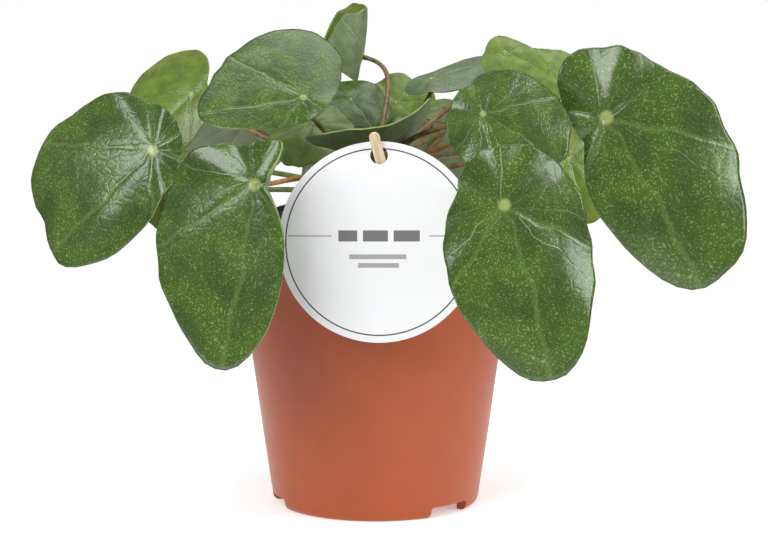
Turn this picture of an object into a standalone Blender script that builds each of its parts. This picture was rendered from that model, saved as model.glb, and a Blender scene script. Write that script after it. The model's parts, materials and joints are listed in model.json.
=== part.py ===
"""A pilea in its plastic nursery pot, with a round card on a wooden stick.

Metres, +Z up. The origin is under the middle of the whole plant's spread, on
the surface that the pot stands on. The pot's axis is a little beside it, at
POT_PLACE, and every size and place below is measured from that axis.
-Y is the front, where the card hangs, and +X is to its right.
The plant is one short stem. Each leaf is a blade on its own petiole, which
meets the blade from underneath, inside its outline.
"""

from math import atan2, copysign, cos, hypot, pi, radians, sin, sqrt, tau

import bmesh
import bpy
from mathutils import Matrix, Vector
from mathutils.geometry import interpolate_bezier

MM = 0.001
GAP = 0.3 * MM  # between pieces that touch
BLADE_GAP = 0.6 * MM  # between a blade, which curves, and the end of its petiole

# Pot
POT_PLACE = Vector((-4, -6, 0)) * MM  # of its axis, from the middle of the spread
POT_HEIGHT = 116 * MM
POT_TOP_RADIUS = 60 * MM
POT_FOOT_RADIUS = 44.5 * MM
POT_WALL = 1.3 * MM
RIM_BEAD = 0.5 * MM
RIM_HEIGHT = 2.6 * MM
FOOT_ROUND = 3 * MM
FOOT_WIDTH = 2.2 * MM
FLOOR_RISE = 4.8 * MM
DRAIN_RADIUS = 3.5 * MM
DRAIN_RING_RADIUS = 31 * MM
DRAIN_COUNT = 6
DRAIN_CUT_HEIGHT = 12 * MM
NOTCH_HEIGHT = 4.7 * MM
NOTCH_SPREAD = radians(28)
NOTCH_CUT_DEPTH = 16 * MM
NOTCH_CORNER = 1.2 * MM
NOTCH_BEARINGS = (-44, 76, 196)  # degrees from +X, anticlockwise from above
TURNED_STEPS = 56

# Soil
SOIL_MOUND = ((0, 129.5), (20, 129), (38, 127.5), (48, 124.5), (55, 119))
SOIL_EDGE_DROP = 3 * MM  # below the rim, at the wall
STEM_SOCKET_HEIGHT = 100 * MM  # of its cutter, which ends above the soil

# Stem
STEM_FOOT = 70 * MM
STEM_TOP = 152 * MM
STEM_RADIUS = 5 * MM
STEM_TOP_RADIUS = 3.2 * MM
STEM_RINGS = (138 * MM, 146 * MM)  # heights, between the soil and the top

# Leaves
BLADE_THICKNESS = 0.8 * MM
BLADE_SECTORS = 20
RING_SHARES = (0, 0.32, 0.62, 0.85, 1)
PETIOLE_RADIUS = 1.25 * MM
PETIOLE_END_RADIUS = 0.95 * MM
PETIOLE_POINTS = 10

# Card and its stick
CARD_RADIUS = 41 * MM
CARD_THICKNESS = 0.5 * MM
CARD_HEIGHT = 121 * MM  # of its centre
CARD_SIDE = 1.6 * MM  # of its centre, to the right of the pot's axis
CARD_LEAN = radians(8)
CARD_STAND_OFF = 0.1 * MM  # from where its back would meet the rim
HOLE_RADIUS = 3.6 * MM
HOLE_RISE = 35.3 * MM  # above the card's centre, along the card
HOLE_CUT_DEPTH = 6 * MM
STICK_WIDTH = 4.3 * MM
STICK_THICKNESS = 1.4 * MM
STICK_EDGE_ROUND = 0.4 * MM
STICK_ABOVE_HOLE = 10.5 * MM
STICK_BELOW_HOLE = 52 * MM
STICK_DIRECTION = Vector((-0.23, -0.32, 0.92)).normalized()

# Each blade: "at" is where its petiole meets it, in millimetres; "tip" is the
# way its midrib leaves there, and "face" the way its upper side looks. "length"
# runs from there to the tip. "outline" holds the distances from there to the
# margin as shares of the length, at equal angles, the tip first and then
# anticlockwise as seen from above the blade; without one, the blade is a disc
# whose centre lies "off_centre" of its radius beyond the petiole's end. "droop"
# is the bend towards the tip and towards the base, in degrees at one length
# from there and at half a length, and "roll" the bend towards the anticlockwise
# and the clockwise side, in degrees at half a length. Positive bends turn the
# margin down, away from the face. "wave" is how many waves the margin has,
# their height and where they start, in degrees. "start" is the petiole's height
# on the stem and its bearing there, "rise" how steeply it leaves, in degrees,
# and "hook" the share of its span over which it turns to meet the blade, 0.25
# without one.
LEAVES = {
    "far_left": dict(
        at=(-92, -35, 156), tip=(-0.75, -0.15, -0.62), face=(-0.25, -0.85, 0.35), length=64,
        outline=(1, 0.64, 0.33, 0.24, 0.2, 0.2, 0.22, 0.27, 0.35, 0.53, 0.78, 0.95),
        droop=(22, 18), roll=(18, 14), wave=(5, 1.5, 20), start=(133, 200), rise=22),
    "front_left": dict(
        at=(-48, -80, 147), tip=(-0.2, -0.2, -0.96), face=(-0.25, -0.93, 0.2), length=75,
        outline=(1, 0.8, 0.36, 0.2, 0.15, 0.14, 0.17, 0.27, 0.25, 0.21, 0.27, 0.38, 0.48, 0.57, 0.7, 0.84),
        droop=(14, 16), roll=(10, 16), wave=(4, 1, 0), start=(132, 236), rise=35),
    "back_left": dict(
        at=(-80, 25, 174), tip=(-0.7, -0.2, -0.6), face=(-0.35, -0.78, 0.5), length=34,
        outline=(1, 0.85, 0.55, 0.4, 0.3, 0.22, 0.28, 0.55, 0.85, 1, 1.1, 1.05),
        droop=(15, 20), roll=(10, 16), wave=(4, 1, 0), start=(137, 170), rise=24),
    "upper_left": dict(
        at=(-30, -25, 177), tip=(-0.97, -0.1, -0.15), face=(0.03, -0.7, 0.71), length=44,
        outline=(1, 0.6, 0.36, 0.27, 0.25, 0.26, 0.31, 0.48, 0.8, 0.96, 0.96, 0.95),
        droop=(12, 12), roll=(12, 8), wave=(3, 1.5, 10), start=(142, 218), rise=45),
    "back_upright": dict(
        at=(-6.5, 67, 187), tip=(0.17, 0, 0.98), face=(-0.97, 0, 0.2), length=22,
        outline=(1, 1.1, 1.2, 1.1, 0.8, 0.6, 0.5, 0.55, 0.7, 1, 1, 1),
        droop=(-10, 0), roll=(-45, -60), wave=(3, 0.5, 0), start=(150, 78), rise=55),
    "low_centre_left": dict(
        at=(-27, 17, 162), tip=(-0.3, -0.85, -0.4), face=(-0.15, -0.5, 0.85), length=25,
        outline=(1, 0.9, 0.8, 0.7, 0.65, 0.6, 0.55, 0.55, 0.65, 0.75, 0.8, 0.9),
        droop=(24, 14), roll=(14, 14), wave=(5, 1.5, 0), start=(145, 150), rise=55, hook=0.4),
    "low_centre_right": dict(
        at=(14, 34, 157), tip=(0.1, -0.85, -0.45), face=(0.05, -0.5, 0.86), length=16,
        off_centre=0.15, droop=(14, 14), roll=(14, 14), wave=(4, 1, 0), start=(140, 75), rise=25, hook=0.35),
    "cupped_centre": dict(
        at=(-4, -22, 157.5), tip=(1, 0, 0.06), face=(0, 0.42, 0.9), length=35,
        outline=(1, 0.75, 0.5, 0.42, 0.42, 0.5, 0.72, 0.5, 0.42, 0.42, 0.5, 0.75),
        droop=(-70, -8), roll=(-6, -12), wave=(2, 0.6, 0), start=(147, 270), rise=25, hook=0.2),
    "mid_centre": dict(
        at=(-11, 44, 170), tip=(0.5, -0.75, -0.35), face=(0.05, -0.6, 0.8), length=20,
        off_centre=0.15, droop=(10, 10), roll=(12, 12), wave=(4, 1, 0), start=(144, 128), rise=30, hook=0.4),
    "mid_back": dict(
        at=(9, 72, 166), tip=(0.8, 0, 0.1), face=(0.05, -0.8, 0.6), length=18,
        off_centre=0.1, droop=(10, 10), roll=(12, 12), wave=(5, 1.5, 30), start=(145, 86), rise=10, hook=0.5),
    "arched_right": dict(
        at=(24, 24, 181), tip=(0.93, -0.1, 0.32), face=(-0.3, -0.25, 0.92), length=28,
        outline=(1, 0.9, 0.7, 0.52, 0.45, 0.42, 0.46, 0.42, 0.45, 0.52, 0.7, 0.9),
        droop=(4, 26), roll=(14, 14), wave=(3, 0.8, 0), start=(147, 35), rise=60),
    "small_top": dict(
        at=(55, 0, 194), tip=(0.88, -0.1, -0.45), face=(0.15, -0.75, 0.65), length=21,
        outline=(1, 0.7, 0.5, 0.45, 0.45, 0.42, 0.4, 0.45, 0.6, 0.6, 0.5, 0.8),
        droop=(14, 20), roll=(16, 10), wave=(3, 0.6, 0), start=(145, 0), rise=50, hook=0.3),
    "back_right_top": dict(
        at=(76, 42, 184), tip=(0.4, -0.75, -0.5), face=(0.15, -0.72, 0.68), length=17,
        off_centre=0.1, droop=(14, 14), roll=(12, 12), wave=(4, 0.8, 0), start=(141, 28), rise=45),
    "right_centre": dict(
        at=(44, -50, 172.5), tip=(0.85, -0.1, -0.5), face=(0.08, -0.9, 0.42), length=38,
        outline=(1, 0.97, 0.82, 0.62, 0.5, 0.36, 0.36, 0.38, 0.45, 0.55, 0.68, 0.8),
        droop=(16, 14), roll=(14, 12), wave=(5, 1.2, 0), start=(143, 310), rise=60),
    "front_right": dict(
        at=(51, -97, 141), tip=(0.3, -0.1, -0.95), face=(0.15, -0.97, 0.15), length=72,
        outline=(1, 0.6, 0.46, 0.41, 0.38, 0.34, 0.32, 0.3, 0.28, 0.35, 0.52, 0.78),
        droop=(12, 16), roll=(20, 16), wave=(5, 1, 0), start=(131, 312), rise=35),
    "far_right": dict(
        at=(95.5, -35, 169.5), tip=(0.5, -0.15, -0.85), face=(-0.1, -0.97, 0.15), length=84,
        outline=(1, 0.78, 0.6, 0.43, 0.37, 0.36, 0.37, 0.27, 0.18, 0.17, 0.22, 0.55),
        droop=(16, 20), roll=(24, 30), wave=(4, 1.2, 0), start=(137, 338), rise=50),
    "right_behind": dict(
        at=(84, 22, 146), tip=(0.3, -0.25, -0.93), face=(0.25, -0.9, 0.3), length=30,
        off_centre=0.2, droop=(14, 14), roll=(12, 12), wave=(4, 1, 0), start=(134, 15), rise=35),
    "left_behind": dict(
        at=(-84, 4, 138), tip=(-0.5, -0.2, -0.75), face=(-0.35, -0.8, 0.45), length=22,
        off_centre=0.2, droop=(14, 14), roll=(12, 12), wave=(4, 1, 0), start=(132, 174), rise=12),
    "right_low_behind": dict(
        at=(31, 42, 167), tip=(-0.7, -0.2, 0), face=(-0.1, -0.3, 0.94), length=13,
        off_centre=0.1, droop=(14, 14), roll=(12, 12), wave=(3, 0.6, 0), start=(139, 5), rise=35, hook=0.3),
    "rear_left": dict(
        at=(-56, 58, 160), tip=(-0.6, 0.55, -0.55), face=(-0.35, 0.6, 0.7), length=40,
        off_centre=0.3, droop=(18, 14), roll=(14, 14), wave=(4, 1.2, 0), start=(134, 132), rise=40),
    "rear_right": dict(
        at=(50, 74, 152), tip=(0.5, 0.6, -0.6), face=(0.3, 0.65, 0.7), length=42,
        off_centre=0.3, droop=(18, 14), roll=(14, 14), wave=(5, 1.2, 0), start=(133, 55), rise=40),
    "rear_middle": dict(
        at=(-4, 94, 138), tip=(-0.1, 0.65, -0.75), face=(-0.05, 0.8, 0.6), length=42,
        off_centre=0.3, droop=(18, 14), roll=(16, 14), wave=(4, 1.2, 0), start=(133, 95), rise=35),
}


# ---------------------------------------------------------------- helpers


def clear_scene():
    for obj in list(bpy.data.objects):
        bpy.data.objects.remove(obj)


def new_collection(name):
    collection = bpy.data.collections.new(name)
    bpy.context.scene.collection.children.link(collection)
    return collection


def material(name, colour, roughness):
    made = bpy.data.materials.new(name)
    made.use_nodes = True
    made.diffuse_color = (*colour, 1)
    shader = made.node_tree.nodes["Principled BSDF"]
    shader.inputs["Base Color"].default_value = (*colour, 1)
    shader.inputs["Roughness"].default_value = roughness
    shader.inputs["Metallic"].default_value = 0
    return made


def add_object(name, data, surface, collection=None):
    obj = bpy.data.objects.new(name, data)
    (collection or PARTS).objects.link(obj)
    if surface:
        data.materials.append(surface)
    return obj


def add_cutter(name, mesh):
    obj = add_object(name, mesh, None, CUTTERS)
    obj.hide_render = True
    obj.display_type = "WIRE"
    return obj


def mesh_from(name, bm):
    mesh = bpy.data.meshes.new(name)
    bm.to_mesh(mesh)
    bm.free()
    return mesh


def shade_round(obj, sharp_above=40):
    obj.data.shade_smooth()
    obj.data.set_sharp_from_angle(angle=radians(sharp_above))


def cylinder_mesh(name, radius, depth, sides):
    bm = bmesh.new()
    bmesh.ops.create_cone(bm, cap_ends=True, segments=sides, radius1=radius, radius2=radius, depth=depth)
    return mesh_from(name, bm)


def turned(name, profile, surface, closed):
    """A profile of (radius, height) points turned about the Z axis, listed down its outer side."""
    mesh = bpy.data.meshes.new(name)
    count = len(profile)
    edges = [(i, i + 1) for i in range(count - 1)] + ([(count - 1, 0)] if closed else [])
    mesh.from_pydata([(r, 0, z) for r, z in profile], edges, [])
    obj = add_object(name, mesh, surface)
    screw = obj.modifiers.new("turn", "SCREW")
    screw.angle = tau
    screw.steps = screw.render_steps = TURNED_STEPS
    screw.use_merge_vertices = True
    screw.merge_threshold = 0.00001
    return obj


def cut(obj, cutter):
    boolean = obj.modifiers.new("cut_" + cutter.name, "BOOLEAN")
    boolean.operation = "DIFFERENCE"
    boolean.solver = "EXACT"
    boolean.object = cutter


def arc(centre, radius, first, last, steps):
    """Points on a circle of (radius, height), from one angle to another, in degrees."""
    turns = [radians(first + (last - first) * i / steps) for i in range(steps + 1)]
    return [(centre[0] + radius * cos(t), centre[1] + radius * sin(t)) for t in turns]


# ---------------------------------------------------------------- pot and soil


def wall_radius(height):
    """The pot's outer radius at a height."""
    return POT_FOOT_RADIUS + (POT_TOP_RADIUS - POT_FOOT_RADIUS) * height / POT_HEIGHT


def make_pot():
    """One moulded shell: a beaded rim, a tapered wall, a foot skirt and a raised floor."""
    rim_foot = POT_HEIGHT - RIM_HEIGHT
    floor_top = FLOOR_RISE + POT_WALL
    foot_outer = wall_radius(0) - FOOT_ROUND
    profile = [(POT_TOP_RADIUS - POT_WALL, POT_HEIGHT)]
    profile += arc((POT_TOP_RADIUS, POT_HEIGHT - RIM_BEAD), RIM_BEAD, 90, 0, 2)
    profile += [(wall_radius(rim_foot) + RIM_BEAD, rim_foot + RIM_BEAD), (wall_radius(rim_foot), rim_foot)]
    profile += [(wall_radius(POT_HEIGHT / 2), POT_HEIGHT / 2)]
    profile += arc((foot_outer, FOOT_ROUND), FOOT_ROUND, 0, -90, 4)
    foot_inner = foot_outer - FOOT_WIDTH
    profile += [(foot_inner, 0), (foot_inner, FLOOR_RISE), (DRAIN_RADIUS, FLOOR_RISE)]
    profile += [(DRAIN_RADIUS, floor_top), (wall_radius(floor_top) - 2 * POT_WALL, floor_top)]
    profile += [(wall_radius(2 * floor_top) - POT_WALL, 2 * floor_top)]
    pot = turned("pot", profile, POT_PLASTIC, closed=True)
    cut_notches(pot)
    cut_drains(pot)
    shade_round(pot)


def cut_notches(pot):
    """Three low gaps in the foot skirt, where water runs out."""
    width = 2 * POT_FOOT_RADIUS * sin(NOTCH_SPREAD / 2)
    for number, bearing in enumerate(NOTCH_BEARINGS, 1):
        bm = bmesh.new()
        bmesh.ops.create_cube(bm, size=1)
        bmesh.ops.scale(bm, vec=(NOTCH_CUT_DEPTH, width, 2 * NOTCH_HEIGHT), verts=bm.verts)
        bmesh.ops.translate(bm, vec=(POT_FOOT_RADIUS, 0, 0), verts=bm.verts)
        cutter = add_cutter(f"notch_cutter_{number}", mesh_from("notch_cutter", bm))
        cutter.rotation_euler.z = radians(bearing)
        round_top = cutter.modifiers.new("round", "BEVEL")
        round_top.width = NOTCH_CORNER
        round_top.segments = 2
        cut(pot, cutter)


def cut_drains(pot):
    """A ring of drain holes in the floor, about the one at its centre."""
    for number in range(DRAIN_COUNT):
        bearing = radians(NOTCH_BEARINGS[0]) + tau * (number + 0.5) / DRAIN_COUNT
        mesh = cylinder_mesh("drain_cutter", DRAIN_RADIUS, DRAIN_CUT_HEIGHT, 12)
        cutter = add_cutter(f"drain_cutter_{number + 1}", mesh)
        cutter.location = (DRAIN_RING_RADIUS * cos(bearing), DRAIN_RING_RADIUS * sin(bearing), FLOOR_RISE)
        cut(pot, cutter)


def make_soil():
    """The pot's filling, mounded over the rim, with a socket for the stem and one for the stick."""
    floor_top = FLOOR_RISE + POT_WALL
    knee = 2 * floor_top
    edge = POT_HEIGHT - SOIL_EDGE_DROP
    profile = [(r * MM, z * MM) for r, z in SOIL_MOUND]
    profile += [(wall_radius(edge) - POT_WALL - GAP, edge)]
    profile += [(wall_radius(knee) - POT_WALL - GAP, knee + GAP)]
    profile += [(wall_radius(floor_top) - 2 * POT_WALL - 2 * GAP, floor_top + GAP), (0, floor_top + GAP)]
    soil = turned("soil", profile, PEAT, closed=False)
    socket = cylinder_mesh("stem_socket", STEM_RADIUS + GAP, STEM_SOCKET_HEIGHT, 20)
    stem_cutter = add_cutter("stem_socket", socket)
    stem_cutter.location.z = STEM_FOOT - GAP + STEM_SOCKET_HEIGHT / 2
    cut(soil, stem_cutter)
    stick_cutter = add_cutter("stick_socket", stick_mesh("stick_socket", GAP))
    stick_cutter.matrix_world = stick_matrix()
    cut(soil, stick_cutter)
    shade_round(soil, 60)


# ---------------------------------------------------------------- plant


def stem_radius(height):
    """The stem keeps its radius in the soil and thins above it."""
    soil_top = SOIL_MOUND[0][1] * MM
    share = min(max((height - soil_top) / (STEM_TOP - soil_top), 0), 1)
    return STEM_RADIUS + (STEM_TOP_RADIUS - STEM_RADIUS) * share


def make_stem():
    heights = (STEM_FOOT, SOIL_MOUND[0][1] * MM, *STEM_RINGS, STEM_TOP)
    curve = tube_curve("stem", [Vector((0, 0, z)) for z in heights], 3)
    curve.bevel_depth = STEM_RADIUS
    for point, height in zip(curve.splines[0].points, heights):
        point.radius = stem_radius(height) / STEM_RADIUS
    add_object("stem", curve, STEM_BARK)


def tube_curve(name, points, resolution):
    curve = bpy.data.curves.new(name, "CURVE")
    curve.dimensions = "3D"
    curve.bevel_resolution = resolution
    curve.use_fill_caps = True
    spline = curve.splines.new("POLY")
    spline.points.add(len(points) - 1)
    for slot, point in zip(spline.points, points):
        slot.co = (*point, 1)
    spline.use_smooth = True
    return curve


def leaf_axes(leaf):
    """The blade's own axes: along its midrib, across it, and out of its upper side."""
    out = Vector(leaf["face"]).normalized()
    along = Vector(leaf["tip"])
    along = (along - out * along.dot(out)).normalized()
    return along, out.cross(along), out


def margin_share(leaf, turn):
    """The distance to the margin at a turn from the tip, as a share of the length."""
    shares = leaf.get("outline")
    if not shares:
        off = leaf.get("off_centre", 0.25)
        radius = 1 / (1 + off)
        return off * radius * cos(turn) + radius * sqrt(1 - (off * sin(turn)) ** 2)
    place = turn / tau * len(shares) % len(shares)
    first = int(place)
    t = place - first
    a, b, c, d = (shares[(first + step) % len(shares)] for step in (-1, 0, 1, 2))
    return b + 0.5 * t * (c - a + t * (2 * a - 5 * b + 4 * c - d + t * (3 * (b - c) + d - a)))


def bent(distance, angle_at):
    """Where a strip whose slope is angle_at(place) has got to at a distance along it."""
    steps = 10
    reach = fall = 0.0
    for step in range(steps):
        angle = angle_at(distance * (step + 0.5) / steps)
        reach += cos(angle) * abs(distance) / steps
        fall += sin(angle) * abs(distance) / steps
    return copysign(reach, distance), fall, angle_at(distance)


def blade_point(leaf, turn, share):
    """A point of the blade's middle surface, in its own axes and in metres."""
    length = leaf["length"] * MM
    distance = share * margin_share(leaf, turn) * length
    u, v = distance * cos(turn), distance * sin(turn)
    droop = radians(leaf["droop"][0 if u > 0 else 1]) / (length if u > 0 else 0.5 * length)
    roll = radians(leaf["roll"][0 if v > 0 else 1]) / (0.5 * length)
    along, fall, tilt = bent(u, lambda place: droop * abs(place))
    across, sag, lean = bent(v, lambda place: roll * abs(place))
    count, height, phase = leaf["wave"]
    lift = height * MM * share**2 * sin(count * turn + radians(phase))
    across += copysign(sin(lean), v) * lift
    out = cos(lean) * lift - sag
    return Vector((along + copysign(sin(tilt), u) * out, across, cos(tilt) * out - fall))


def make_blade(name, leaf):
    """A line from the petiole to the margin, spun into a disc, shaped point by point and thickened."""
    bm = bmesh.new()
    spokes = [bm.verts.new((share, 0, 0)) for share in RING_SHARES]
    edges = [bm.edges.new(pair) for pair in zip(spokes, spokes[1:])]
    bmesh.ops.spin(
        bm, geom=spokes + edges, axis=(0, 0, 1), cent=(0, 0, 0), steps=BLADE_SECTORS, angle=tau)
    bmesh.ops.remove_doubles(bm, verts=bm.verts, dist=0.001)
    for vert in bm.verts:
        vert.co = blade_point(leaf, atan2(vert.co.y, vert.co.x) % tau, hypot(vert.co.x, vert.co.y))
    bmesh.ops.recalc_face_normals(bm, faces=bm.faces)
    obj = add_object("leaf_" + name, mesh_from("leaf_" + name, bm), LEAF_GREEN)
    along, across, out = leaf_axes(leaf)
    turn = Matrix((along, across, out)).transposed().to_4x4()
    obj.matrix_world = Matrix.Translation(Vector(leaf["at"]) * MM) @ turn
    obj.parent = PLANT
    solidify = obj.modifiers.new("thickness", "SOLIDIFY")
    solidify.thickness = BLADE_THICKNESS
    solidify.offset = 0
    shade_round(obj, 80)


def make_petiole(name, leaf):
    """A stalk that leaves the stem upwards and outwards, and arrives square to the blade's underside."""
    height, bearing = leaf["start"][0] * MM, radians(leaf["start"][1])
    rise = radians(leaf["rise"])
    outwards = Vector((cos(bearing), sin(bearing), 0))
    leaving = outwards * cos(rise) + Vector((0, 0, sin(rise)))
    _, _, face = leaf_axes(leaf)
    first = outwards * (stem_radius(height) + GAP + PETIOLE_RADIUS * sin(rise)) + Vector((0, 0, height))
    last = Vector(leaf["at"]) * MM - face * (BLADE_THICKNESS / 2 + BLADE_GAP)
    span = (last - first).length
    points = interpolate_bezier(
        first, first + leaving * span * 0.4, last - face * span * leaf.get("hook", 0.25), last, PETIOLE_POINTS)
    curve = tube_curve("petiole_" + name, points, 2)
    curve.bevel_depth = PETIOLE_RADIUS
    for index, point in enumerate(curve.splines[0].points):
        share = index / (PETIOLE_POINTS - 1)
        point.radius = 1 + (PETIOLE_END_RADIUS / PETIOLE_RADIUS - 1) * share
    obj = add_object("petiole_" + name, curve, PETIOLE_SKIN)
    obj.parent = PLANT


# ---------------------------------------------------------------- card and stick


def card_matrix():
    """The card's own axes: X to the right, Y up the card, Z out of its printed face."""
    rim_front = -(POT_TOP_RADIUS + RIM_BEAD + GAP)
    lean = Matrix.Rotation(pi / 2 - CARD_LEAN, 4, "X")
    above_rim = CARD_HEIGHT - (POT_HEIGHT - RIM_BEAD)
    centre = Vector((CARD_SIDE, rim_front + above_rim * sin(CARD_LEAN) / cos(CARD_LEAN), CARD_HEIGHT))
    stand_off = lean @ Vector((0, 0, CARD_THICKNESS / 2 + CARD_STAND_OFF))
    return Matrix.Translation(centre + stand_off) @ lean


def hole_centre():
    return card_matrix() @ Vector((0, HOLE_RISE, 0))


def make_card():
    card = add_object("card", cylinder_mesh("card", CARD_RADIUS, CARD_THICKNESS, 64), CARD_WHITE)
    card.matrix_world = card_matrix()
    hole = add_cutter("card_hole", cylinder_mesh("card_hole", HOLE_RADIUS, HOLE_CUT_DEPTH, 16))
    hole.matrix_world = card_matrix() @ Matrix.Translation((0, HOLE_RISE, 0))
    cut(card, hole)


def stick_matrix():
    """The stick's own axes: X across it, Y up it, Z out of its front, from the hole's centre."""
    up = STICK_DIRECTION
    across = Vector((1, 0, 0))
    across = (across - up * across.dot(up)).normalized()
    turn = Matrix((across, up, across.cross(up))).transposed().to_4x4()
    return Matrix.Translation(hole_centre()) @ turn


def stick_mesh(name, margin):
    """A flat stick with a round top and a blunt point, made larger all round by a margin."""
    half = STICK_WIDTH / 2 + margin
    top = STICK_ABOVE_HOLE + margin - half
    foot = -STICK_BELOW_HOLE - margin
    outline = arc((0, top), half, 0, 180, 8)
    outline += [(-half, foot + 3 * half), (-0.3 * half, foot), (0.3 * half, foot), (half, foot + 3 * half)]
    curve = bpy.data.curves.new(name, "CURVE")
    curve.dimensions = "2D"
    curve.fill_mode = "BOTH"
    curve.extrude = STICK_THICKNESS / 2 + margin
    spline = curve.splines.new("POLY")
    spline.points.add(len(outline) - 1)
    for slot, (x, y) in zip(spline.points, outline):
        slot.co = (x, y, 0, 1)
    spline.use_cyclic_u = True
    return solid_from_curve(name, curve)


def solid_from_curve(name, curve):
    """The curve as one closed mesh, its caps welded to its sides."""
    guide = bpy.data.objects.new(name, curve)
    CUTTERS.objects.link(guide)
    graph = bpy.context.evaluated_depsgraph_get()
    mesh = bpy.data.meshes.new_from_object(guide.evaluated_get(graph))
    bpy.data.objects.remove(guide)
    bm = bmesh.new()
    bm.from_mesh(mesh)
    bmesh.ops.remove_doubles(bm, verts=bm.verts, dist=0.00001)
    bmesh.ops.recalc_face_normals(bm, faces=bm.faces)
    bm.to_mesh(mesh)
    bm.free()
    return mesh


def make_stick():
    stick = add_object("stick", stick_mesh("stick", 0), STICK_WOOD)
    stick.matrix_world = stick_matrix()
    edge = stick.modifiers.new("edge", "BEVEL")
    edge.width = STICK_EDGE_ROUND
    edge.segments = 2


def place_on_axis():
    """Moves everything, cutters too, from the pot's axis to where that axis stands."""
    stand = bpy.data.objects.new("stand", None)
    PARTS.objects.link(stand)
    stand.location = POT_PLACE
    for obj in bpy.data.objects:
        if obj != stand and not obj.parent:
            obj.parent = stand


# ---------------------------------------------------------------- the whole

clear_scene()
PARTS = new_collection("potted_pilea")
CUTTERS = new_collection("cutters")
PLANT = bpy.data.objects.new("plant", None)
PARTS.objects.link(PLANT)

POT_PLASTIC = material("pot_plastic", (0.43, 0.10, 0.035), 0.4)
PEAT = material("peat", (0.02, 0.014, 0.01), 0.95)
STEM_BARK = material("stem_bark", (0.16, 0.13, 0.05), 0.7)
LEAF_GREEN = material("leaf_green", (0.07, 0.17, 0.02), 0.35)
PETIOLE_SKIN = material("petiole_skin", (0.28, 0.19, 0.06), 0.45)
CARD_WHITE = material("card_white", (0.88, 0.88, 0.9), 0.5)
STICK_WOOD = material("stick_wood", (0.85, 0.7, 0.5), 0.6)

make_pot()
make_soil()
make_stem()
make_card()
make_stick()
for leaf_name, leaf_shape in LEAVES.items():
    make_blade(leaf_name, leaf_shape)
    make_petiole(leaf_name, leaf_shape)
place_on_axis()
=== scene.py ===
import json
from math import copysign, cos, exp, hypot, pi, radians, sin, sqrt, tau
from random import Random

import bmesh
import bpy
from mathutils import Matrix, Vector, noise
from mathutils.geometry import interpolate_bezier

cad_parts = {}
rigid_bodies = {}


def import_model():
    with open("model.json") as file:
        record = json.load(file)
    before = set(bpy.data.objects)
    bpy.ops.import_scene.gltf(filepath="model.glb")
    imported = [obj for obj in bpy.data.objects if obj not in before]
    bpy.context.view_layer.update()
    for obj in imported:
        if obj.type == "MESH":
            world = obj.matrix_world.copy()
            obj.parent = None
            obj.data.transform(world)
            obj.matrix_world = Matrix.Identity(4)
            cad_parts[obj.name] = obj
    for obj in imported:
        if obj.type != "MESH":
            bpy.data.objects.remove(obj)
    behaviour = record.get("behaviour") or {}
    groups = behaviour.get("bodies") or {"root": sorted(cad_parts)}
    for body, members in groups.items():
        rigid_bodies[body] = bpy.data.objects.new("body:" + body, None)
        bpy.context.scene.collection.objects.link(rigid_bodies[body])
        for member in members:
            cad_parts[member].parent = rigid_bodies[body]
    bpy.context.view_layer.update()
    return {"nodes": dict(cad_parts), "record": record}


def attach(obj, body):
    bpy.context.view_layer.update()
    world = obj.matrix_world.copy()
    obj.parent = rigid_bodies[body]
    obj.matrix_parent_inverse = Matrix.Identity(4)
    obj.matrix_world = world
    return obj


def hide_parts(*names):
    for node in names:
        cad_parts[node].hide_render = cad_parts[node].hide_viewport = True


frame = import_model()

# Sizes in metres, measured from the pot's axis on the plane that its foot stands on.
MM = 0.001
AXIS_PLACE = Vector((-4, -6, 0)) * MM  # of the pot's axis in the row frame
TO_FRAME = Matrix.Translation(AXIS_PLACE)
GAP = 0.3 * MM  # between the peat and the pot

# Pot, peat and stem
POT_HEIGHT = 116 * MM
POT_TOP = 60 * MM
POT_FOOT = 44.5 * MM
POT_WALL = 1.3 * MM
RIM_BEAD = 0.5 * MM
LIP_ROUND = 0.4 * MM
RIM_HEIGHT = 2.6 * MM
FOOT_ROUND = 3 * MM
FOOT_WIDTH = 2.2 * MM
FLOOR_RISE = 4.8 * MM
NOTCH_BEARINGS = (-44, 76, 196)  # degrees from +X, anticlockwise from above
NOTCH_HEIGHT = 4.7 * MM
NOTCH_WIDTH = 21.5 * MM
NOTCH_DEPTH = 16 * MM
NOTCH_CORNER = 1.2 * MM
DRAIN_COUNT = 6
DRAIN_RADIUS = 3.5 * MM
DRAIN_RING = 31 * MM
POT_STEPS = 180
SOIL_STEPS = 200
SOIL_MOUND = ((0, 129), (20, 128.5), (38, 127), (48, 124), (55, 118.5))
SOIL_EDGE_DROP = 3 * MM  # below the rim, at the wall
SOIL_TOP = 129.5 * MM
SOIL_ROUGHNESS = 1.3 * MM
SOIL_GRAIN = 180  # lumps to the metre
SOIL_STRETCH = 1.2 * MM  # between the rings of its top
CRUMBS = 420
CRUMB_REACH = 55 * MM
STEM_FOOT = 70 * MM
STEM_TOP = 152 * MM
STEM_RADIUS = 5 * MM
STEM_TOP_RADIUS = 3.2 * MM
BUD_HEIGHT = 1.2 * MM

# Blades and stalks
BLADE_THICKNESS = 0.7 * MM
RIB_ANGLES = (0.0, 0.85, -0.85)  # of the three main veins, from the tip
HIND_RIB_ANGLES = (2.0, -2.0)
RIB_DEPTH = 0.55 * MM
RIB_WIDTH = 1.8 * MM
CURL_RADIUS = 2.4 * MM
MARGIN_UNEVENNESS = 0.045  # of the distance to the margin
PUCKERS = ((0.5 * MM, 60, 0), (0.28 * MM, 170, 5))  # height, count to the metre, shift of the pattern
SECTORS = 96
RINGS = 20
STALK_RADIUS = 1.25 * MM
STALK_END_RADIUS = 0.95 * MM
STALK_POINTS = 26
STALK_SIDES = 14
STALK_SWELLINGS = ((0, 0.35 * MM, 0.06), (1, 0.3 * MM, 0.04))  # share of the stalk, height, spread

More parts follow.
